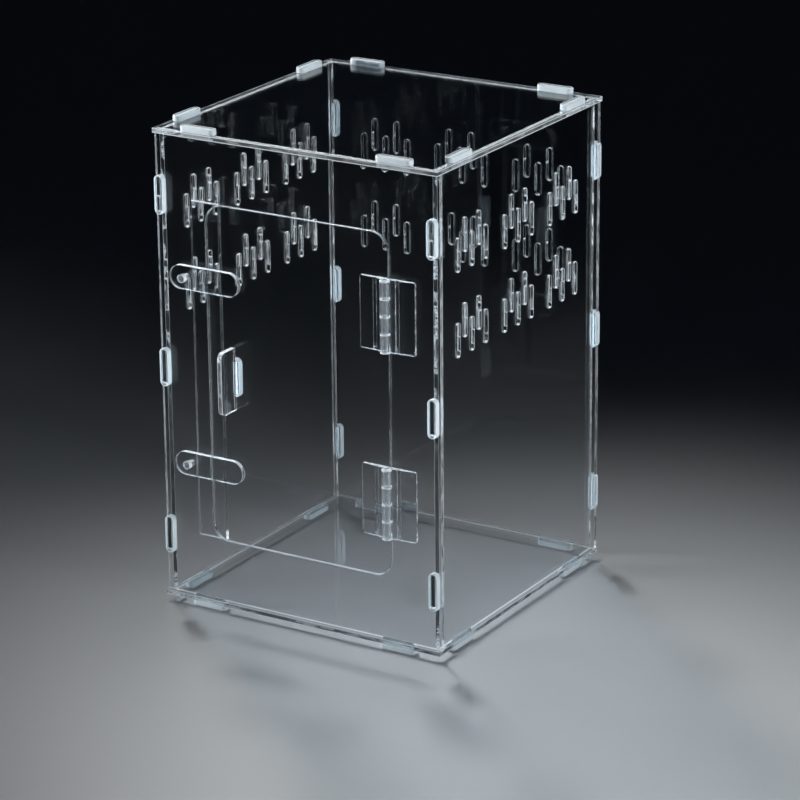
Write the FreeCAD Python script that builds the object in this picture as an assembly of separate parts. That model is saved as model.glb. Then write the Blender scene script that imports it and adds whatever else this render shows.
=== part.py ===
import FreeCAD, Part
import math
import os

# A clear acrylic reptile enclosure that stands on a shelf or table. Six flat sheets lock together with
# tabs in slots, and a soft ring pushed over the end of each tab keeps it there. The front sheet has a
# doorway, whose door hangs on two clear hinges and is held shut by two arms that turn across its free edge.
# Lengths are in millimetres. +Z is up, the door faces -Y, and the hinges are on the +X side.

# Sheets
sheet = 3.0                    # thickness of every acrylic sheet
plate_width = 200.0            # top and bottom panels, left to right
plate_depth = 200.0            # top and bottom panels, front to back
body_height = 303.0            # underside of the bottom panel to the upper side of the top panel
edge_margin = 2.5              # from the outer faces of the walls to the edges of the plates
fit_gap = 0.05                 # play between pieces that seat against each other

# Tabs, and the soft rings on their ends
tab_width = 21.8               # along the edge that carries the tab
plate_tab_inset = 31.1         # from a corner of the plates to the middle of the nearest tab
side_tab_inset = 41.3          # from the plates' outer sides to the middle of the nearest upright tab
ring_depth = 3.5               # how far a ring stands out from its panel
ring_wall = 0.85               # thickness of the ring around the tab
ring_bow = 0.9                 # room between the ring and each face of its tab
ring_edge_radius = 0.3         # rounding of a ring's outer rim
tab_recess = 0.3               # how far a tab's end lies inside its ring

# Air vents in the left, right and back panels
vent_length = 21.4             # one slot, end to end
vent_width = 4.0
vent_pitch = 8.15              # from slot to slot
vents_in_group = 5
vent_group_pitch = 55.4        # from group to group
vent_groups = 3
vent_row_pitch = 52.8          # from row to row
vent_rows = 2
vent_top_distance = 52.6       # from the top of the body to the middle of the upper row

# Doorway, door and the strip that the door shuts against
doorway_width = 130.0
doorway_height = 217.0
doorway_corner_radius = 12.0
door_gap = 0.5                 # cut line between the door and the front panel
strip_width = 20.0
strip_overlap = 8.3            # how far the strip reaches behind the doorway's free edge

# Handle
handle_height = 40.0
handle_reach = 15.0            # out from the door
handle_corner_radius = 4.0
handle_inset = 18.2            # from the doorway's free edge to the middle of the handle

# Hinges
hinge_height = 45.0
hinge_inset = 49.5             # from the doorway's upper or lower edge to the middle of the hinge
leaf_width = 19.0              # from the hinge axis to the leaf's free edge
leaf_gap = 0.3                 # from the hinge axis to the leaf's inner edge
leaf_edge_thickness = 1.6      # at the free edge
leaf_crest_thickness = 2.9     # at the groove
leaf_root_thickness = 3.2      # between the groove and the barrel
leaf_corner_radius = 1.2
groove_distance = 6.5          # from the hinge axis to the groove
groove_width = 2.5
groove_depth = 0.6
dimple_diameter = 2.0          # round marks at the groove's ends
dimple_depth = 0.4
dimple_inset = 2.75            # from the leaf's upper or lower edge to the middle of the mark
barrel_diameter = 6.2
barrel_lift = 1.1              # from the panel's face to the barrel
barrel_clearance = 0.35        # between a barrel and the other leaf
knuckle_count = 4
knuckle_gap = 0.3
hinge_pin_diameter = 3.0
hinge_pin_clearance = 0.05
hinge_pin_recess = 0.5         # from the ends of the barrel to the ends of the pin

# Latches
latch_length = 50.0
latch_width = 15.0
latch_inset = 48.1             # from the doorway's upper or lower edge to the middle of the latch
latch_reach = 25.0             # past the doorway's free edge
latch_pivot_inset = 10.5       # from the arm's outer end to its pin
latch_play = 0.3               # between the arm and what it turns against
latch_pin_diameter = 3.6
latch_pin_clearance = 0.05
latch_head_diameter = 5.2
latch_head_height = 3.0
latch_head_radius = 0.3        # rounding of the head's rim

overrun = 1.0                  # how far every cut runs past the material
quarter_turn = 90
half_turn = 180

# Places that follow from the sizes above, with the body's underside at zero height
middle_height = body_height / 2
front_face = plate_depth / 2 - edge_margin
front_inside = front_face - sheet
side_face = plate_width / 2 - edge_margin
side_width = 2 * (front_inside - fit_gap)
wall_foot = sheet + fit_gap
wall_top = body_height - sheet - fit_gap
tab_length = sheet + 2 * fit_gap + ring_depth - tab_recess
slot_width = sheet + 2 * fit_gap
slot_length = tab_width + 2 * fit_gap
side_tab_heights = (side_tab_inset, middle_height, body_height - side_tab_inset)
doorway_side = doorway_width / 2
doorway_foot = middle_height - doorway_height / 2
doorway_top = middle_height + doorway_height / 2
handle_x = handle_inset - doorway_side
hinge_x = doorway_side - door_gap / 2
hinge_rise = barrel_lift + barrel_diameter / 2
hinge_heights = {"upper": doorway_top - hinge_inset, "lower": doorway_foot + hinge_inset}
latch_x = latch_reach - doorway_side - latch_length + latch_pivot_inset
latch_heights = {"upper": doorway_top - latch_inset, "lower": doorway_foot + latch_inset}

# The origin lies on the floor, under the middle of the overall box from the handle to the rear rings
front_reach = front_face + handle_reach
rear_reach = front_face + fit_gap + ring_depth
origin_shift = FreeCAD.Vector(0, (front_reach - rear_reach) / 2, ring_depth + fit_gap)

across = FreeCAD.Vector(1, 0, 0)
inward = FreeCAD.Vector(0, 1, 0)
upward = FreeCAD.Vector(0, 0, 1)


def around(middle, size):
    """The span of a size about its middle, as (low, high)."""
    return middle - size / 2, middle + size / 2


def block(x, y, z):
    """A block that fills three spans."""
    corner = FreeCAD.Vector(x[0], y[0], z[0])
    return Part.makeBox(x[1] - x[0], y[1] - y[0], z[1] - z[0], corner)


def joined(first, others):
    """One solid from pieces that touch, without the seams between level faces."""
    return first.fuse(others).removeSplitter()


def moved(solid, x, y, z):
    solid.translate(FreeCAD.Vector(x, y, z))
    return solid


def turned(solid, angle, axis=upward):
    """The solid, turned about an axis through the zero point."""
    solid.rotate(FreeCAD.Vector(), axis, angle)
    return solid


def rounded_prism(width, height, radius, depth):
    """A rounded rectangle about the zero point in the XY plane, carried up by its depth."""
    x = width / 2 - radius
    y = height / 2 - radius
    arcs = []
    for quarter, (arc_x, arc_y) in enumerate(((x, y), (-x, y), (-x, -y), (x, -y))):
        circle = Part.Circle(FreeCAD.Vector(arc_x, arc_y, 0), upward, radius)
        arcs.append(Part.Arc(circle, quarter * math.pi / 2, (quarter + 1) * math.pi / 2))
    edges = []
    for arc, following in zip(arcs, arcs[1:] + arcs[:1]):
        edges.append(arc.toShape())
        if not arc.EndPoint.isEqual(following.StartPoint, Part.Precision.confusion()):
            edges.append(Part.makeLine(arc.EndPoint, following.StartPoint))
    return Part.Face(Part.Wire(edges)).extrude(upward * depth)


def upright_prism(width, height, radius, depth, front):
    """A rounded rectangle stood up in the XZ plane, from its front face inwards by its depth."""
    solid = turned(rounded_prism(width, height, radius, depth), quarter_turn, across)
    return moved(solid, 0, depth - front, 0)


def tab_places(plate_size):
    """Where the two tabs of a wall lie along the edge of the plates."""
    return plate_tab_inset - plate_size / 2, plate_size / 2 - plate_tab_inset


def wall(width, plate_size, face, side_tabs):
    """A wall at the front of the body, with two tabs up through the top panel, two down through the
    bottom panel and, on a side wall, three at each end."""
    thickness = (-face, sheet - face)
    tabs = []
    for place in tab_places(plate_size):
        span = around(place, tab_width)
        tabs.append(block(span, thickness, (wall_top, wall_top + tab_length)))
        tabs.append(block(span, thickness, (wall_foot - tab_length, wall_foot)))
    end = width / 2
    for height in side_tabs:
        span = around(height, tab_width)
        tabs.append(block((end, end + tab_length), thickness, span))
        tabs.append(block((-end - tab_length, -end), thickness, span))
    return joined(block(around(0, width), thickness, (wall_foot, wall_top)), tabs)


def through(face):
    """The span of a cut right through a wall."""
    return -face - overrun, sheet - face + overrun


def vents(face):
    """Rows of vent groups through a wall. Every second slot of a group stands half a slot higher."""
    cuts = []
    for row in range(vent_rows):
        row_height = body_height - vent_top_distance - row * vent_row_pitch
        for group in range(vent_groups):
            group_x = (group - (vent_groups - 1) / 2) * vent_group_pitch
            for slot in range(vents_in_group):
                x = group_x + (slot - (vents_in_group - 1) / 2) * vent_pitch
                lift = vent_length / 4 if slot % 2 else -vent_length / 4
                cut = upright_prism(vent_width, vent_length, vent_width / 2, sheet + 2 * overrun, face + overrun)
                cuts.append(moved(cut, x, 0, row_height + lift))
    return cuts


def side_panel():
    """A vented wall between the front and back panels, its end tabs through both of them."""
    return wall(side_width, plate_depth, side_face, side_tab_heights).cut(vents(side_face))


def cross_panel():
    """A wall as wide as the plates, with slots at both ends for the side panels' tabs."""
    cuts = []
    for side in (-1, 1):
        x = around(side * (side_face - sheet / 2), slot_width)
        cuts += [block(x, through(front_face), around(height, slot_length)) for height in side_tab_heights]
    return wall(plate_width, plate_width, front_face, ()).cut(cuts)


def plate(foot):
    """A top or bottom panel with a slot for every tab of the four walls."""
    depth = (foot - overrun, foot + sheet + overrun)
    cuts = []
    for side in (-1, 1):
        beside_front = around(side * (front_face - sheet / 2), slot_width)
        beside_end = around(side * (side_face - sheet / 2), slot_width)
        cuts += [block(around(x, slot_length), beside_front, depth) for x in tab_places(plate_width)]
        cuts += [block(beside_end, around(y, slot_length), depth) for y in tab_places(plate_depth)]
    return block(around(0, plate_width), around(0, plate_depth), (foot, foot + sheet)).cut(cuts)


def front_panel():
    """The front wall, with the doorway and a hole for each latch pin."""
    depth = sheet + 2 * overrun
    front = front_face + overrun
    doorway = upright_prism(doorway_width, doorway_height, doorway_corner_radius, depth, front)
    cuts = [moved(doorway, 0, 0, middle_height)]
    for height in latch_heights.values():
        start = FreeCAD.Vector(latch_x, -front, height)
        cuts.append(Part.makeCylinder(latch_pin_diameter / 2 + fit_gap, depth, start, inward))
    return cross_panel().cut(cuts)


def door_panel():
    """The door, cut from the front panel, with a slot for the handle's tab."""
    width = doorway_width - 2 * door_gap
    height = doorway_height - 2 * door_gap
    door = upright_prism(width, height, doorway_corner_radius - door_gap, sheet, front_face)
    slot = block(around(handle_x, slot_width), through(front_face), around(middle_height, slot_length))
    return moved(door, 0, 0, middle_height).cut(slot)


def door_stop_strip():
    """The strip glued inside the front panel, behind the door's free edge."""
    edge = strip_overlap - doorway_side
    start = fit_gap - front_inside
    return block((edge - strip_width, edge), (start, start + sheet),
                 (doorway_foot + door_gap, doorway_top - door_gap))


def door_handle():
    """An upright plate that stands out from the door, its tab through the door's slot."""
    x = around(handle_x, sheet)
    foot = -front_face - fit_gap
    grip = block(x, (-front_reach, foot), around(middle_height, handle_height))
    nose = [edge for edge in grip.Edges if edge.BoundBox.YMax < foot and edge.BoundBox.XLength > sheet / 2]
    tab = block(x, (foot, foot + tab_length), around(middle_height, tab_width))
    return joined(grip.makeFillet(handle_corner_radius, nose), [tab])


def ring():
    """A soft ring lying at zero height, long side along X, its rounded rim on top. It bows out beside the
    tab's faces, and its round ends grip the tab's four corners."""
    inner_radius = sheet / 2 + ring_bow
    outer_radius = inner_radius + ring_wall
    end_middle = slot_length / 2 - math.sqrt(inner_radius ** 2 - (slot_width / 2) ** 2)
    outer = rounded_prism(2 * (end_middle + outer_radius), 2 * outer_radius, outer_radius, ring_depth)
    rim = [edge for edge in outer.Edges if edge.BoundBox.ZMin > ring_depth / 2]
    hole = rounded_prism(2 * (end_middle + inner_radius), 2 * inner_radius, inner_radius, ring_depth + 2 * overrun)
    return outer.makeFillet(ring_edge_radius, rim).cut(moved(hole, 0, 0, -overrun))


def plate_rings(level, plate_size, face, angle):
    """The two rings on one wall's tabs, above the top panel or below the bottom panel."""
    rings = []
    for place in tab_places(plate_size):
        if level == "top":
            piece = moved(ring(), 0, 0, body_height + fit_gap)
        else:
            piece = moved(turned(ring(), half_turn, across), 0, 0, -fit_gap)
        rings.append(turned(moved(piece, place, sheet / 2 - face, 0), angle))
    return Part.makeCompound(rings)


def upright_ring(x, height, face):
    """A ring stood up on a wall or the door, facing forwards."""
    piece = turned(turned(ring(), quarter_turn, across), quarter_turn, inward)
    return moved(piece, x, -face - fit_gap, height)


def corner_rings(side, angle):
    """The three rings on one side panel's end tabs, in front of the front panel or behind the back panel."""
    x = side * (side_face - sheet / 2)
    return Part.makeCompound([turned(upright_ring(x, height, front_face), angle) for height in side_tab_heights])


def handle_ring():
    """The ring that holds the handle's tab, on the inner side of the door."""
    return turned(upright_ring(-handle_x, middle_height, -front_inside), half_turn)


def leaf_section(points, foot, height):
    """An outline carried up, its points given as distances from the hinge axis and out from the panel."""
    outline = [FreeCAD.Vector(hinge_x + aside, -front_face - out, foot) for aside, out in points]
    return Part.Face(Part.makePolygon(outline + outline[:1])).extrude(upward * height)


def bar(radius, foot, height):
    """A round bar about the hinge axis."""
    return Part.makeCylinder(radius, height, FreeCAD.Vector(hinge_x, -front_face - hinge_rise, foot))


def hinge_leaf(middle, side, first_knuckle):
    """One leaf, to the +X or -X side of the hinge axis, with every second knuckle of the barrel."""
    foot = middle - hinge_height / 2
    groove_end = groove_distance + groove_width
    groove_floor = leaf_crest_thickness - groove_depth
    section = [(leaf_gap, fit_gap), (leaf_width, fit_gap), (leaf_width, leaf_edge_thickness),
               (groove_end, leaf_crest_thickness), (groove_end, groove_floor), (groove_distance, groove_floor),
               (groove_distance, leaf_root_thickness), (leaf_gap, leaf_root_thickness)]
    leaf = leaf_section([(side * aside, out) for aside, out in section], foot, hinge_height)
    free_x = hinge_x + side * leaf_width
    corners = [edge for edge in leaf.Edges if edge.BoundBox.ZLength < hinge_height / 2
               and abs(edge.CenterOfMass.x - free_x) < leaf_corner_radius / 2]
    leaf = leaf.makeFillet(leaf_corner_radius, corners)
    leaf = leaf.cut(bar(barrel_diameter / 2 + barrel_clearance, foot - overrun, hinge_height + 2 * overrun))

    # At the leaf's own knuckles, its root runs on under the barrel
    radius = barrel_diameter / 2
    root = [(leaf_gap, fit_gap), (groove_distance, fit_gap), (groove_distance, leaf_root_thickness),
            (leaf_gap, leaf_root_thickness)]
    pitch = (hinge_height + knuckle_gap) / knuckle_count
    knuckles = []
    for index in range(first_knuckle, knuckle_count, 2):
        start = foot + index * pitch
        knuckles.append(bar(radius, start, pitch - knuckle_gap))
        knuckles.append(leaf_section([(side * aside, out) for aside, out in root], start, pitch - knuckle_gap))
    leaf = joined(leaf, knuckles)

    bore = hinge_pin_diameter / 2 + hinge_pin_clearance
    cuts = [bar(bore, foot - overrun, hinge_height + 2 * overrun)]
    dimple_x = hinge_x + side * (groove_distance + groove_width / 2)
    for height in (foot + dimple_inset, foot + hinge_height - dimple_inset):
        start = FreeCAD.Vector(dimple_x, dimple_depth - groove_floor - front_face, height)
        cuts.append(Part.makeCylinder(dimple_diameter / 2, dimple_depth + overrun, start, inward * -1))
    return leaf.cut(cuts)


def hinge_pin(middle):
    """The pin through both leaves' knuckles, a little shorter than the barrel."""
    length = hinge_height - 2 * hinge_pin_recess
    return bar(hinge_pin_diameter / 2, middle - length / 2, length)


def latch_arm(height):
    """A flat arm with round ends, across the door's free edge, that turns on its pin."""
    front = front_face + latch_play + sheet
    arm = upright_prism(latch_length, latch_width, latch_width / 2, sheet, front)
    arm = moved(arm, latch_x - latch_pivot_inset + latch_length / 2, 0, height)
    start = FreeCAD.Vector(latch_x, -front - overrun, height)
    radius = latch_pin_diameter / 2 + latch_pin_clearance
    return arm.cut(Part.makeCylinder(radius, sheet + 2 * overrun, start, inward))


def latch_pin(height):
    """A headed pin through the arm, fixed in the front panel and level with its inner face."""
    seat = front_face + sheet + 2 * latch_play
    shank_start = FreeCAD.Vector(latch_x, -seat, height)
    shank = Part.makeCylinder(latch_pin_diameter / 2, seat - front_inside, shank_start, inward)
    head_start = FreeCAD.Vector(latch_x, -seat - latch_head_height, height)
    head = Part.makeCylinder(latch_head_diameter / 2, latch_head_height, head_start, inward)
    rim = [edge for edge in head.Edges if edge.BoundBox.YMax < head_start.y + latch_head_height / 2]
    return joined(head.makeFillet(latch_head_radius, rim), [shank])


def save(name, shape):
    """Moves a finished piece to the part's origin, writes its file and says where it lies."""
    shape.translate(origin_shift)
    shape.exportStep("parts/" + name + ".step")
    low = (shape.BoundBox.XMin, shape.BoundBox.YMin, shape.BoundBox.ZMin)
    high = (shape.BoundBox.XMax, shape.BoundBox.YMax, shape.BoundBox.ZMax)
    print(name, len(shape.Solids), [round(value, 2) for value in low + high])


os.makedirs("parts", exist_ok=True)

save("top_panel", plate(body_height - sheet))
save("bottom_panel", plate(0))
save("front_panel", front_panel())
save("back_panel", turned(cross_panel().cut(vents(front_face)), half_turn))
save("right_panel", turned(side_panel(), quarter_turn))
save("left_panel", turned(side_panel(), -quarter_turn))
save("door_panel", door_panel())
save("door_stop_strip", door_stop_strip())
save("door_handle", door_handle())
save("handle_ring", handle_ring())

for level in ("top", "bottom"):
    save(level + "_front_rings", plate_rings(level, plate_width, front_face, 0))
    save(level + "_back_rings", plate_rings(level, plate_width, front_face, half_turn))
    save(level + "_right_rings", plate_rings(level, plate_depth, side_face, quarter_turn))
    save(level + "_left_rings", plate_rings(level, plate_depth, side_face, -quarter_turn))

for side_name, side in (("left", -1), ("right", 1)):
    save("front_" + side_name + "_rings", corner_rings(side, 0))
    save("back_" + side_name + "_rings", corner_rings(-side, half_turn))

for level in ("upper", "lower"):
    save(level + "_hinge_frame_leaf", hinge_leaf(hinge_heights[level], 1, 0))
    save(level + "_hinge_door_leaf", hinge_leaf(hinge_heights[level], -1, 1))
    save(level + "_hinge_pin", hinge_pin(hinge_heights[level]))
    save(level + "_latch_arm", latch_arm(latch_heights[level]))
    save(level + "_latch_pin", latch_pin(latch_heights[level]))
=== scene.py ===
# %% [markdown]
# A clear reptile enclosure, made of flat acrylic sheets that lock together with tabs and soft rings.
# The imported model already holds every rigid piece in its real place, so this lesson dresses it: the
# camera comes first, then the clear and milky finishes, the soft rings, and the studio around them.

import math

import bpy
import numpy as np
from mathutils import Matrix, Vector


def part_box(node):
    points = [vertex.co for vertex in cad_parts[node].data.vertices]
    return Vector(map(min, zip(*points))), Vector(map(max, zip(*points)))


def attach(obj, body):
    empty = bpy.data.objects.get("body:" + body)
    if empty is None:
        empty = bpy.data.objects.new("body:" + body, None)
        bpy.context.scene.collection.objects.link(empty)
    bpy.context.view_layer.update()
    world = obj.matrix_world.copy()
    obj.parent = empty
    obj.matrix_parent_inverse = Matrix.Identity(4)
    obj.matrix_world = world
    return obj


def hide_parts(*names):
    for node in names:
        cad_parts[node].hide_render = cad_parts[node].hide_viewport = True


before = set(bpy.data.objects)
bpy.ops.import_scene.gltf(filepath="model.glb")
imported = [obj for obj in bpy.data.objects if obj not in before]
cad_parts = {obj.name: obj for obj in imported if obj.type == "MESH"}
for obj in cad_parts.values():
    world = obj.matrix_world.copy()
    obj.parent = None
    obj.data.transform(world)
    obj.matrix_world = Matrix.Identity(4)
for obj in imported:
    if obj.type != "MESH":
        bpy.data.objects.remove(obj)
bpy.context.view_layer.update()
mm = 0.001

# %% [markdown]
# The camera stands in front and to the right, a little above the lid, and uses a long lens, so upright
# edges stay nearly parallel. It could be aimed by eye, but here its place and turn were worked out from
# the corners of the box, because a clear object shows every edge and small errors add up.

# %% Camera
camera_place = Vector((1.110212, -1.781847, 0.856358))
camera_azimuth, camera_elevation, camera_roll = (math.radians(a) for a in (31.562, 19.291, -0.543))
camera_lens = 159.653

back = Vector((math.sin(camera_azimuth) * math.cos(camera_elevation),
               -math.cos(camera_azimuth) * math.cos(camera_elevation), math.sin(camera_elevation)))
right = Vector((math.cos(camera_azimuth), math.sin(camera_azimuth), 0))
up = back.cross(right)
tilted_right = math.cos(camera_roll) * right + math.sin(camera_roll) * up
tilted_up = math.cos(camera_roll) * up - math.sin(camera_roll) * right
camera_turn = Matrix((tilted_right, tilted_up, back)).transposed()

camera = bpy.data.objects.new("camera", bpy.data.cameras.new("camera"))
bpy.context.collection.objects.link(camera)
camera.data.lens = camera_lens
camera.matrix_world = Matrix.Translation(camera_place) @ camera_turn.to_4x4()
bpy.context.scene.camera = camera

# %% [markdown]
# Every finish is a small tree of shader nodes. The trees could be drawn by hand in the editor, but written
# out they can be read, and shared by many pieces. Two helpers keep them short: one turns a screen colour
# into the linear light that shaders work in, and one adds a node with its settings and links.

# %% Helpers for materials
def linear(hex_colour):
    """A screen colour as linear light: each channel is divided by 12.92 below 0.04045, and above it is
    raised to the power 2.4 after an offset of 0.055."""
    channels = np.array([int(hex_colour[i:i + 2], 16) for i in (1, 3, 5)]) / 255
    light = np.where(channels <= 0.04045, channels / 12.92, ((channels + 0.055) / 1.055) ** 2.4)
    return (*light, 1.0)


def add(tree, kind, inputs=None, **settings):
    """Adds a node. An input that is another node's output is linked, and any other value is set."""
    node = tree.nodes.new("ShaderNode" + kind)
    for name, value in settings.items():
        setattr(node, name, value)
    for name, value in (inputs or {}).items():
        if isinstance(value, bpy.types.NodeSocket):
            tree.links.new(value, node.inputs[name])
        else:
            node.inputs[name].default_value = value
    return node


def empty_material(name):
    """A material with no nodes yet, and its node tree."""
    material = bpy.data.materials.new(name)
    material.use_nodes = True
    material.node_tree.nodes.clear()
    return material, material.node_tree


def dress(node_name, material):
    """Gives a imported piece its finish."""
    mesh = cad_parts[node_name].data
    mesh.materials.clear()
    mesh.materials.append(material)


print("white on screen is", linear("#FFFFFF")[:3], "in linear light")

# %% [markdown]
# Cast acrylic sheet is clearer than window glass, and its broad faces are polished. A laser cuts it and
# leaves edges that are partly clear and partly frosted, so they catch light from all round and shine while
# the faces nearly vanish. Clear and frosted parts could be two materials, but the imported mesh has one, so
# each finish mixes two surfaces, and a mask says where the frost is. Lamps shine through the clear part.

# %% Clear and frosted plastic
axes = {"X": (1, 0, 0), "Y": (0, 1, 0), "Z": (0, 0, 1)}


def clear_and_frosted(tree, frost, clear_look, frosted_look):
    """Ends a tree with a clear and a frosted surface, mixed by the frost. Rays from lamps, and light on its
    way between dull surfaces, cross the clear share unbent."""
    clear = add(tree, "Math", {0: 1.0, 1: frost}, operation="SUBTRACT")
    polished = add(tree, "BsdfPrincipled", {**clear_look, "Transmission Weight": 1.0})
    frosted = add(tree, "BsdfPrincipled", frosted_look)
    plastic = add(tree, "MixShader", {0: frost, 1: polished.outputs[0], 2: frosted.outputs[0]})

    path = add(tree, "LightPath")
    passing = add(tree, "Math", {0: path.outputs["Is Shadow Ray"], 1: path.outputs["Is Diffuse Ray"]},
                  operation="MAXIMUM")
    share = add(tree, "Math", {0: passing.outputs[0], 1: clear.outputs[0]}, operation="MULTIPLY")
    air = add(tree, "BsdfTransparent", {"Color": linear("#FAFCFD")})
    mix = add(tree, "MixShader", {0: share.outputs[0], 1: plastic.outputs[0], 2: air.outputs[0]})
    add(tree, "OutputMaterial", {"Surface": mix.outputs[0]})


# Acrylic bends light a little less than glass. The laser melts its edges to a satin white
clear_acrylic = {"Base Color": linear("#FBFCFD"), "Roughness": 0.0, "IOR": 1.49}
lasered_acrylic = {"Base Color": linear("#E2ECF3"), "Roughness": 0.45, "IOR": 1.49}
print("acrylic bends light by an index of", clear_acrylic["IOR"])

# %% [markdown]
# A cut edge is whitest along both rims, where the beam enters and leaves the sheet. Where it faces up or
# down it is whitened too, a painted highlight for the light such cuts catch. Thin strips of mesh could stand
# for the rims, but masks follow every vent and slot by themselves.
# The surface normal tells faces from edges: on a face it points along the sheet's thickness.

# %% Rims of the cuts
rim_fade = 0.15  # share of half the thickness over which a rim's frost sets in


def edge_mask(tree, place, axis):
    """One on the cut edges and zero on the faces."""
    facing = add(tree, "VectorMath", {0: place.outputs["Normal"], 1: axes[axis]}, operation="DOT_PRODUCT")
    slope = add(tree, "Math", {0: facing.outputs["Value"]}, operation="ABSOLUTE")
    return add(tree, "Math", {0: slope.outputs[0], 1: 0.5}, operation="LESS_THAN").outputs[0]


def rim_mask(tree, place, axis, low, high, start, frost):
    """Frost that sets in at a share of half the thickness from the middle of the sheet."""
    index = "XYZ".index(axis)
    middle, half = (low[index] + high[index]) / 2, (high[index] - low[index]) / 2
    depth = add(tree, "VectorMath", {0: place.outputs["Object"], 1: axes[axis]}, operation="DOT_PRODUCT")
    offset = add(tree, "Math", {0: depth.outputs["Value"], 1: middle}, operation="SUBTRACT")
    distance = add(tree, "Math", {0: offset.outputs[0]}, operation="ABSOLUTE")
    rim = add(tree, "MapRange", {"Value": distance.outputs[0], "From Min": start * half,
                                 "From Max": (start + rim_fade) * half, "To Max": frost},
              interpolation_type="SMOOTHSTEP")
    return rim.outputs[0]


def painted_highlight_mask(tree, place):
    """A painted highlight: one where a surface faces up or down and catches light, and zero where it stands
    upright.
    """
    upward = add(tree, "VectorMath", {0: place.outputs["Normal"], 1: axes["Z"]}, operation="DOT_PRODUCT")
    level = add(tree, "Math", {0: upward.outputs["Value"]}, operation="ABSOLUTE")
    return add(tree, "MapRange", {"Value": level.outputs[0], "From Min": 0.4, "From Max": 0.8}).outputs[0]


print("rims fade over", rim_fade, "of half the thickness")

# %% [markdown]
# Between the rims the laser leaves fine streaks along the outline, which is cut last and slowest. White blots
# stand partly for uneven frost and partly for glints off the striations, a painted highlight, on the upper
# half of the box and at its foot. They could be drawn in a texture, but noise at their real size runs on
# round every corner.

# %% Streaks and blots
streak_length, streak_thinning = 10 * mm, 6.0
blot_size, blot_stretch, mottle_size = 6 * mm, 0.6, 1 * mm
blotted_from, blotted_fully = 130 * mm, 190 * mm  # heights where the upper blots begin and are full
foot_ends, foot_full = 60 * mm, 45 * mm           # heights where the blots at the foot end and are full


def outline_share(tree, place, axis, low, high):
    """How far out a point lies: the largest of its shares of half the sheet's length and breadth."""
    shares = [0.0 if letter == axis else 2 / (b - a) for letter, a, b in zip("XYZ", low, high)]
    from_centre = add(tree, "VectorMath", {0: place.outputs["Object"], 1: (low + high) / 2},
                      operation="SUBTRACT")
    share = add(tree, "VectorMath", {0: from_centre.outputs[0], 1: shares}, operation="MULTIPLY")
    size = add(tree, "VectorMath", {0: share.outputs[0]}, operation="ABSOLUTE")
    sizes = add(tree, "SeparateXYZ", {0: size.outputs[0]})
    wider = add(tree, "Math", {0: sizes.outputs["X"], 1: sizes.outputs["Y"]}, operation="MAXIMUM")
    return add(tree, "Math", {0: wider.outputs[0], 1: sizes.outputs["Z"]}, operation="MAXIMUM").outputs[0]


def streak_mask(tree, place, axis, frost):
    """Streaks that run along an edge, and are thinner across it."""
    thinning = [streak_thinning if letter == axis else 1.0 for letter in "XYZ"]
    drawn_out = add(tree, "Mapping", {"Vector": place.outputs["Object"], "Scale": thinning})
    noise = add(tree, "TexNoise", {"Vector": drawn_out.outputs[0], "Scale": 1 / streak_length, "Detail": 3.0})
    streaks = add(tree, "MapRange", {"Value": noise.outputs[0], "From Min": 0.42, "From Max": 0.62,
                                     "To Min": 0.3 * frost, "To Max": frost})
    return streaks.outputs[0]


def glint_blot_mask(tree, place, frost):
    """Upright blots, broken by a mottle, on the upper half of the box and at its foot; partly uneven frost
    and partly painted glints.
    """
    tall = add(tree, "Mapping", {"Vector": place.outputs["Object"], "Scale": (1.0, 1.0, blot_stretch)})
    noise = add(tree, "TexNoise", {"Vector": tall.outputs[0], "Scale": 1 / blot_size, "Detail": 1.0})
    blots = add(tree, "MapRange", {"Value": noise.outputs[0], "From Min": 0.5, "From Max": 0.57})
    mottle = add(tree, "TexNoise", {"Vector": place.outputs["Object"], "Scale": 1 / mottle_size,
                                    "Detail": 2.0})
    specks = add(tree, "MapRange", {"Value": mottle.outputs[0], "From Min": 0.35, "From Max": 0.55,
                                    "To Max": frost})
    broken = add(tree, "Math", {0: blots.outputs[0], 1: specks.outputs[0]}, operation="MULTIPLY")

    height = add(tree, "SeparateXYZ", {0: place.outputs["Object"]})
    upper = add(tree, "MapRange", {"Value": height.outputs["Z"], "From Min": blotted_from,
                                   "From Max": blotted_fully, "To Min": 0.12})
    foot = add(tree, "MapRange", {"Value": height.outputs["Z"], "From Min": foot_ends, "From Max": foot_full})
    slow = add(tree, "Math", {0: upper.outputs[0], 1: foot.outputs[0]}, operation="MAXIMUM")
    return add(tree, "Math", {0: broken.outputs[0], 1: slow.outputs[0]}, operation="MULTIPLY").outputs[0]


print("streaks in mm:", streak_length / mm, "blots in mm:", blot_size / mm)

# %% [markdown]
# Every sheet is cut from the same acrylic, so all get one recipe, each with its own strengths. Side walls and
# door show clear edges between white rims, and the other edges of the box are whiter. One strength for all
# would be simpler, but then the thin line of the door would be as loud as the corners.

# %% Clear sheets
outline_start = 0.85  # share of the outline beyond which a cut belongs to it, and not to a vent or slot
inner_blots = 0.2     # strength of the blots on cuts inside the outline
everywhere = 2.0      # a share beyond every outline


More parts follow.
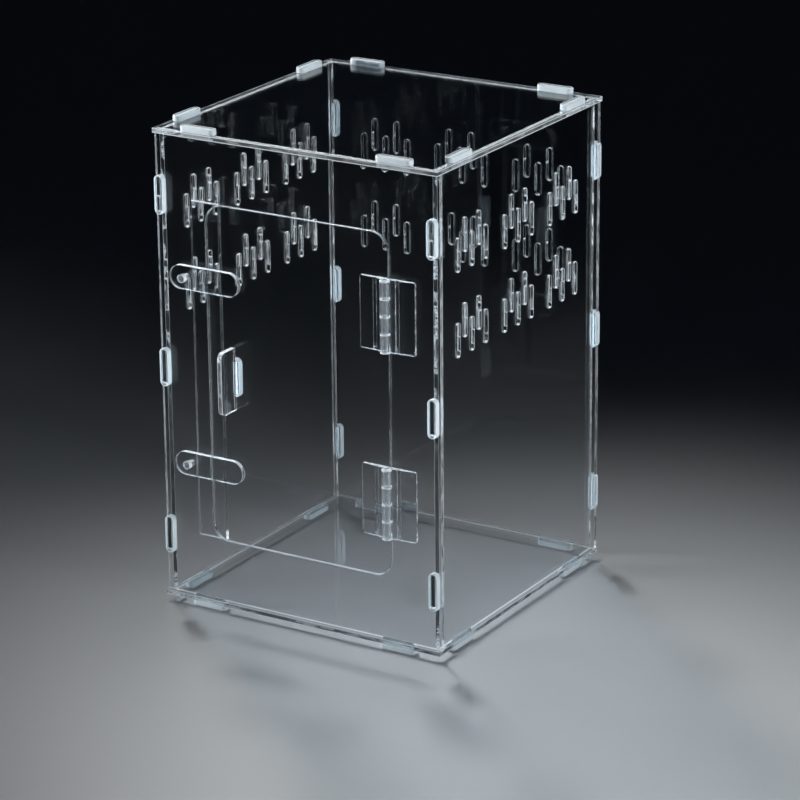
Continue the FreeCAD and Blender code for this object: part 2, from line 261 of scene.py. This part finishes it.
def cut_sheet(node_name, axis, streak_frost, rim_start, rim_frost, blot_frost, blot_reach):
    """Clear faces, and edges whose frost is the strongest of their rims, streaks, blots that are partly
    painted glints, and a painted highlight on parts that face up or down.
    Streaks keep to the outline, and blots end where the share of the outline passes their reach."""
    material, tree = empty_material("cast_acrylic_" + node_name)
    low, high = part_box(node_name)
    place = add(tree, "TexCoord")
    far_out = outline_share(tree, place, axis, low, high)
    outline = add(tree, "Math", {0: far_out, 1: outline_start}, operation="GREATER_THAN")
    streaks = add(tree, "Math", {0: streak_mask(tree, place, axis, streak_frost), 1: outline.outputs[0]},
                  operation="MULTIPLY")

    strength = add(tree, "MapRange", {"Value": outline.outputs[0], "To Min": inner_blots})
    in_reach = add(tree, "Math", {0: far_out, 1: blot_reach}, operation="LESS_THAN")
    allowed = add(tree, "Math", {0: strength.outputs[0], 1: in_reach.outputs[0]}, operation="MULTIPLY")
    # The blots are partly a painted highlight, glints off the cut's striations
    blots = add(tree, "Math", {0: glint_blot_mask(tree, place, blot_frost), 1: allowed.outputs[0]},
                operation="MULTIPLY")

    uneven = add(tree, "Math", {0: streaks.outputs[0], 1: blots.outputs[0]}, operation="MAXIMUM")
    rims = rim_mask(tree, place, axis, low, high, rim_start, rim_frost)
    lined = add(tree, "Math", {0: rims, 1: uneven.outputs[0]}, operation="MAXIMUM")
    # Parts that face up or down are whitened as a painted highlight
    whitest = add(tree, "Math", {0: lined.outputs[0], 1: painted_highlight_mask(tree, place)}, operation="MAXIMUM")
    frost = add(tree, "Math", {0: whitest.outputs[0], 1: edge_mask(tree, place, axis)}, operation="MULTIPLY")
    clear_and_frosted(tree, frost.outputs[0], clear_acrylic, lasered_acrylic)
    return material


# Thickness axis, frost of the streaks, start and frost of the rims, frost and reach of the blots, which are
# partly painted glints. The blots of the side walls stop short of the ends of their tabs, which stay clear
sheets = {
    "top_panel": ("Z", 0.35, 0.6, 1.0, 0.0, everywhere),
    "bottom_panel": ("Z", 0.5, 0.7, 1.0, 0.0, everywhere),
    "front_panel": ("Y", 0.55, 0.8, 0.9, 0.5, everywhere),
    "back_panel": ("Y", 0.4, 0.82, 0.9, 0.7, everywhere),
    "left_panel": ("X", 0.08, 0.82, 0.9, 1.0, 0.96),
    "right_panel": ("X", 0.08, 0.82, 0.9, 1.0, 0.96),
    "door_panel": ("Y", 0.05, 0.82, 0.8, 0.1, everywhere),
    "door_stop_strip": ("Y", 0.03, 0.86, 0.7, 0.1, everywhere),
    "door_handle": ("X", 0.12, 0.74, 1.0, 0.5, everywhere),
    "upper_latch_arm": ("Y", 0.3, 0.7, 1.0, 0.0, everywhere),
    "lower_latch_arm": ("Y", 0.3, 0.7, 1.0, 0.0, everywhere),
}
for node_name, finish in sheets.items():
    dress(node_name, cut_sheet(node_name, *finish))
print("sheets dressed:", len(sheets))

# %% [markdown]
# The hinges are moulded in clear plastic. The flat leaves come out polished, and the round knuckles, their
# rims and the groove where each leaf bends come out a little hazy. The haze could be one value all over,
# but a hinge reads as a hinge only when its four knuckles stand out, so it follows their places.

# %% Clear moulded hinges
knuckle_count = 4
barrel_inside, barrel_outside = 3.2 * mm, 3.3 * mm  # radii between which the barrel's haze ends
speckle_size = 1.2 * mm

# Clear moulding plastic bends light a little more than acrylic, and flow marks dull it
clear_moulding = {"Base Color": linear("#F7F9FB"), "Roughness": 0.02, "IOR": 1.53}
hazy_moulding = {"Base Color": linear("#E2ECF3"), "Roughness": 0.35, "IOR": 1.53}


def moulded_hinge(name, pin_node):
    """Clear plastic with haze on faces that look sideways, on ends that look up or down, in a speckle all
    over the knuckles, and most of all within half a millimetre of the rims where two knuckles meet. The
    knuckles share the pin's length equally, and lie inside a radius from its axis."""
    material, tree = empty_material(name)
    low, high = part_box(pin_node)
    knuckle = (high[2] - low[2]) / knuckle_count
    pin_foot = ((low[0] + high[0]) / 2, (low[1] + high[1]) / 2, low[2])
    place = add(tree, "TexCoord")
    from_foot = add(tree, "VectorMath", {0: place.outputs["Object"], 1: pin_foot}, operation="SUBTRACT")
    flat = add(tree, "VectorMath", {0: from_foot.outputs[0], 1: (1, 1, 0)}, operation="MULTIPLY")
    radius = add(tree, "VectorMath", {0: flat.outputs[0]}, operation="LENGTH")
    barrel = add(tree, "MapRange", {"Value": radius.outputs["Value"], "From Min": barrel_outside,
                                    "From Max": barrel_inside})
    leaf = add(tree, "Math", {0: 1.0, 1: barrel.outputs[0]}, operation="SUBTRACT")

    parts = add(tree, "SeparateXYZ", {0: place.outputs["Normal"]})
    sideways = add(tree, "Math", {0: parts.outputs["X"]}, operation="ABSOLUTE")
    level = add(tree, "Math", {0: parts.outputs["Z"]}, operation="ABSOLUTE")
    ends = add(tree, "MapRange", {"Value": level.outputs[0], "From Min": 0.7, "From Max": 0.9,
                                  "To Max": 0.95})
    walls = add(tree, "MapRange", {"Value": sideways.outputs[0], "From Min": 0.85, "From Max": 0.97})

    speckle = add(tree, "TexNoise", {"Vector": place.outputs["Object"], "Scale": 1 / speckle_size,
                                     "Detail": 2.0})
    broken = add(tree, "MapRange", {"Value": speckle.outputs[0], "From Min": 0.47, "From Max": 0.6,
                                    "To Min": 0.02, "To Max": 0.35})
    wall_haze = add(tree, "Math", {0: walls.outputs[0], 1: broken.outputs[0]}, operation="MULTIPLY")
    leaf_haze = add(tree, "Math", {0: wall_haze.outputs[0], 1: leaf.outputs[0]}, operation="MULTIPLY")

    height = add(tree, "SeparateXYZ", {0: from_foot.outputs[0]})
    to_rim = add(tree, "Math", {0: height.outputs["Z"], 1: knuckle / 2}, operation="PINGPONG")
    rims = add(tree, "MapRange", {"Value": to_rim.outputs[0], "From Min": 0.7 * mm, "From Max": 0.4 * mm,
                                  "To Max": 0.9})
    dusting = add(tree, "MapRange", {"Value": speckle.outputs[0], "From Min": 0.4, "From Max": 0.65,
                                     "To Min": 0.01, "To Max": 0.1})
    rounded = add(tree, "Math", {0: rims.outputs[0], 1: dusting.outputs[0]}, operation="MAXIMUM")
    barrel_haze = add(tree, "Math", {0: rounded.outputs[0], 1: barrel.outputs[0]}, operation="MULTIPLY")

    either = add(tree, "Math", {0: leaf_haze.outputs[0], 1: barrel_haze.outputs[0]}, operation="MAXIMUM")
    haze = add(tree, "Math", {0: either.outputs[0], 1: ends.outputs[0]}, operation="MAXIMUM")
    clear_and_frosted(tree, haze.outputs[0], clear_moulding, hazy_moulding)
    return material


for level_name in ("upper", "lower"):
    hinge_plastic = moulded_hinge("moulded_clear_" + level_name + "_hinge", level_name + "_hinge_pin")
    for part in ("hinge_frame_leaf", "hinge_door_leaf", "hinge_pin"):
        dress(level_name + "_" + part, hinge_plastic)
    print(level_name, "hinge dressed")

# %% [markdown]
# Each latch turns on a short clear pin with a round head. The head could be clear all over, but turning
# leaves its side dull and the rim of its end white, and those show that it is round.

# %% Latch pins
rim_from, rim_full = 0.86, 0.93  # shares of the head's radius where the white rim begins and is full
side_frost = 0.2

# Turned acrylic keeps fine tool marks, so it is a little duller than the sheet
clear_pin = {"Base Color": linear("#FBFCFD"), "Roughness": 0.02, "IOR": 1.49}
turned_rim = {"Base Color": linear("#ECF3F8"), "Roughness": 0.3, "IOR": 1.49}


def turned_pin(node_name):
    """Clear plastic, dulled on surfaces that turn away from the pin's axis and white along the rim of its
    end. The axis runs front to back through the middle of the piece."""
    material, tree = empty_material("turned_clear_" + node_name)
    low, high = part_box(node_name)
    head = (high[0] - low[0]) / 2
    place = add(tree, "TexCoord")
    from_axis = add(tree, "VectorMath", {0: place.outputs["Object"], 1: (low + high) / 2},
                    operation="SUBTRACT")
    flat = add(tree, "VectorMath", {0: from_axis.outputs[0], 1: (1, 0, 1)}, operation="MULTIPLY")
    radius = add(tree, "VectorMath", {0: flat.outputs[0]}, operation="LENGTH")
    rim = add(tree, "MapRange", {"Value": radius.outputs["Value"], "From Min": rim_from * head,
                                 "From Max": rim_full * head})
    facing = add(tree, "VectorMath", {0: place.outputs["Normal"], 1: axes["Y"]}, operation="DOT_PRODUCT")
    slope = add(tree, "Math", {0: facing.outputs["Value"]}, operation="ABSOLUTE")
    side = add(tree, "MapRange", {"Value": slope.outputs[0], "From Min": 0.8, "From Max": 0.3})
    dulled = add(tree, "Math", {0: side.outputs[0], 1: side_frost}, operation="MULTIPLY")
    frost = add(tree, "Math", {0: rim.outputs[0], 1: dulled.outputs[0]}, operation="MAXIMUM")
    clear_and_frosted(tree, frost.outputs[0], clear_pin, turned_rim)
    return material


for level_name in ("upper", "lower"):
    dress(level_name + "_latch_pin", turned_pin(level_name + "_latch_pin"))
    print(level_name, "latch pin dressed")

# %% [markdown]
# A soft milky ring is pushed over every tab. It is a closed loop of silicone with a rounded rim. It could
# be a bevelled extrusion, but a profile carried round a path gives a softer shape with few points.

# %% Shape of a soft ring
end_points = 25                    # points round each end of the ring's path
section_points = 32                # points round the section of its wall
rim_power, foot_power = 0.5, 0.25  # how squared off the section is above and below its middle


def linked_mesh(name, points, quads):
    """A smooth mesh object at the origin, with its place in its points."""
    mesh = bpy.data.meshes.new(name)
    mesh.from_pydata(points.tolist(), [], quads.tolist())
    mesh.polygons.foreach_set("use_smooth", np.ones(len(quads), bool))
    piece = bpy.data.objects.new(name, mesh)
    bpy.context.collection.objects.link(piece)
    return piece


def ring_surface(length, width, depth, wall):
    """One ring, long side along the first axis, standing up by its depth. Its path is two half circles
    joined by straight sides. At every point of the path the radius and the height follow a squared-off
    oval as thick as the wall, whose cosine and sine are raised to a small power, smaller at the foot
    than at the rim."""
    turn = np.linspace(-np.pi / 2, np.pi / 2, end_points)
    turn = np.concatenate((turn, turn + np.pi))[:, None]
    shift = np.repeat((1, -1), end_points)[:, None] * (length - width) / 2

    around = np.linspace(0, 2 * np.pi, section_points, endpoint=False)
    power = np.where(np.sin(around) > 0, rim_power, foot_power)
    outward = np.sign(np.cos(around)) * np.abs(np.cos(around)) ** power
    upward = np.sign(np.sin(around)) * np.abs(np.sin(around)) ** power
    radius = width / 2 - wall / 2 + wall / 2 * outward
    rise = np.broadcast_to(depth / 2 + depth / 2 * upward, (2 * end_points, section_points))
    points = np.stack((shift + radius * np.cos(turn), radius * np.sin(turn), rise), axis=2)

    u, v = np.meshgrid(np.arange(2 * end_points), np.arange(section_points), indexing="ij")
    next_u, next_v = (u + 1) % (2 * end_points), (v + 1) % section_points
    corners = ((u, v), (next_u, v), (next_u, next_v), (u, next_v))
    quads = np.stack([along * section_points + across for along, across in corners], axis=-1)
    return points.reshape(-1, 3), quads.reshape(-1, 4)


low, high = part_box("handle_ring")
ring_width, ring_depth, ring_length = high - low
ring_wall = 0.85 * mm
ring_points, ring_quads = ring_surface(ring_length, ring_width, ring_depth, ring_wall)
print("one ring in mm:", [round(v / mm, 2) for v in (ring_length, ring_width, ring_depth)])

# %% [markdown]
# Silicone is milky: light enters it, scatters and comes out nearby, so thin walls glow and no shadow on
# it is hard. A plain white would be simpler, but looks like chalk. Subsurface scattering, over about the
# thickness of the ring's wall, keeps it soft, and a fine grain takes the shine off, as moulding does.

# %% Milky silicone
milky, tree = empty_material("milky_silicone")
place = add(tree, "TexCoord")
cloud = add(tree, "TexNoise", {"Vector": place.outputs["Object"], "Scale": 1 / (5 * mm), "Detail": 3.0})
tone = add(tree, "Mix", {0: cloud.outputs[0], 6: linear("#D2E0EA"), 7: linear("#E8F2F8")}, data_type="RGBA")
grain = add(tree, "TexNoise", {"Vector": place.outputs["Object"], "Scale": 1 / (0.6 * mm), "Detail": 2.0})
soft_bump = add(tree, "Bump", {"Height": grain.outputs[0], "Strength": 0.15, "Distance": 0.1 * mm})
silicone = add(tree, "BsdfPrincipled", {"Base Color": tone.outputs[2], "Roughness": 0.38, "IOR": 1.41,
                                        "Subsurface Weight": 0.6, "Subsurface Scale": 1.0 * mm,
                                        "Subsurface Radius": (1.0, 1.1, 1.2), "Normal": soft_bump.outputs[0]})
add(tree, "OutputMaterial", {"Surface": silicone.outputs[0]})
print("milky silicone made")

# %% [markdown]
# The rings sit two to each edge of the top and bottom panels, three to each upright corner, and one behind
# the handle. Each could be placed by hand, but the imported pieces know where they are, so every soft ring
# takes its place from the piece that it stands for.

# %% Place the rings
# Long axis, axis that a ring stands out along and its sense, number of rings, and the body they ride on
ring_rows = {"handle_ring": ("Z", "Y", 1, 1, "door")}
for side in ("front", "back", "left", "right"):
    along = "X" if side in ("front", "back") else "Y"
    ring_rows["top_" + side + "_rings"] = (along, "Z", 1, 2, "enclosure")
    ring_rows["bottom_" + side + "_rings"] = (along, "Z", -1, 2, "enclosure")
for side in ("left", "right"):
    ring_rows["front_" + side + "_rings"] = ("Z", "Y", -1, 3, "enclosure")
    ring_rows["back_" + side + "_rings"] = ("Z", "Y", 1, 3, "enclosure")

for node_name, (along, out, sense, count, body) in ring_rows.items():
    low, high = (np.array(v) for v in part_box(node_name))
    long_axis, out_axis = np.array(axes[along]), np.array(axes[out]) * sense
    turned = np.stack((long_axis, np.cross(out_axis, long_axis), out_axis))
    foot = np.where(out_axis > 0, low, np.where(out_axis < 0, high, (low + high) / 2))
    reach = (high - low) @ long_axis / 2 - ring_length / 2
    places = foot + np.linspace(-reach, reach, count)[:, None] * long_axis
    points = (ring_points @ turned)[None] + places[:, None]
    quads = ring_quads[None] + (np.arange(count) * len(ring_points))[:, None, None]
    piece = linked_mesh("soft_" + node_name, points.reshape(-1, 3), quads.reshape(-1, 4))
    piece.data.materials.append(milky)
    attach(piece, body)
    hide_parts(node_name)
print("rings:", sum(row[3] for row in ring_rows.values()), "in", len(ring_rows), "pieces")

# %% [markdown]
# The studio is a pale matt floor under soft lamps with grids, which keep their light on the object. A bent
# sheet of paper could close the view behind it, but a flat floor that falls into shade there leaves a dark
# ground, and clear edges stand out against the dark.

# %% Floor
floor_reach = 6.0
floor_drop = 0.2 * mm  # keeps the floor clear of the undersides of the lower rings
corners = np.array(((-1, -1), (1, -1), (1, 1), (-1, 1))) * floor_reach
floor = linked_mesh("floor", np.column_stack((corners, np.full(4, -floor_drop))), np.array(((0, 1, 2, 3),)))
pale, tree = empty_material("pale_floor")
matt = add(tree, "BsdfPrincipled", {"Base Color": linear("#C4C8CC"), "Roughness": 0.7})
add(tree, "OutputMaterial", {"Surface": matt.outputs[0]})
floor.data.materials.append(pale)
print("floor reaches", floor_reach, "m each way")

# %% [markdown]
# Light on clear sheets has to miss their faces and catch their edges. A bright tent all round would mirror
# in every face and veil the inside. Here two lamps stand low at the sides and graze the box, a third stands
# high behind it and throws its pool of light on the floor in front, and the world is nearly black.

# %% Lamps and world
def lamp(name, azimuth, elevation, distance, size, spread, aim, watts):
    """A square soft lamp that looks at the object's axis at the height of its aim. Azimuth 0 is the front,
    and 90 the right."""
    turn, rise = math.radians(azimuth), math.radians(elevation)
    away = Vector((math.sin(turn) * math.cos(rise), -math.cos(turn) * math.cos(rise), math.sin(rise)))
    light = bpy.data.lights.new(name, "AREA")
    light.size = size
    light.spread = math.radians(spread)
    light.energy = watts
    piece = bpy.data.objects.new(name, light)
    bpy.context.collection.objects.link(piece)
    piece.location = Vector((0, 0, aim)) + away * distance
    piece.rotation_euler = away.to_track_quat("Z", "Y").to_euler()
    print(name, "shines with", watts, "W from", distance, "m")


lamp("left_lamp", azimuth=-62, elevation=1, distance=3.0, size=0.3, spread=12, aim=0.21, watts=0.88)
lamp("right_lamp", azimuth=84, elevation=1, distance=3.0, size=0.3, spread=12, aim=0.21, watts=0.48)
lamp("back_lamp", azimuth=230, elevation=38, distance=1.6, size=0.6, spread=16, aim=0.44, watts=1.3)

world = bpy.data.worlds.new("studio")
bpy.context.scene.world = world
world.use_nodes = True
world.node_tree.nodes["Background"].inputs["Color"].default_value = linear("#090C11")
bpy.context.scene.view_settings.view_transform = "Standard"
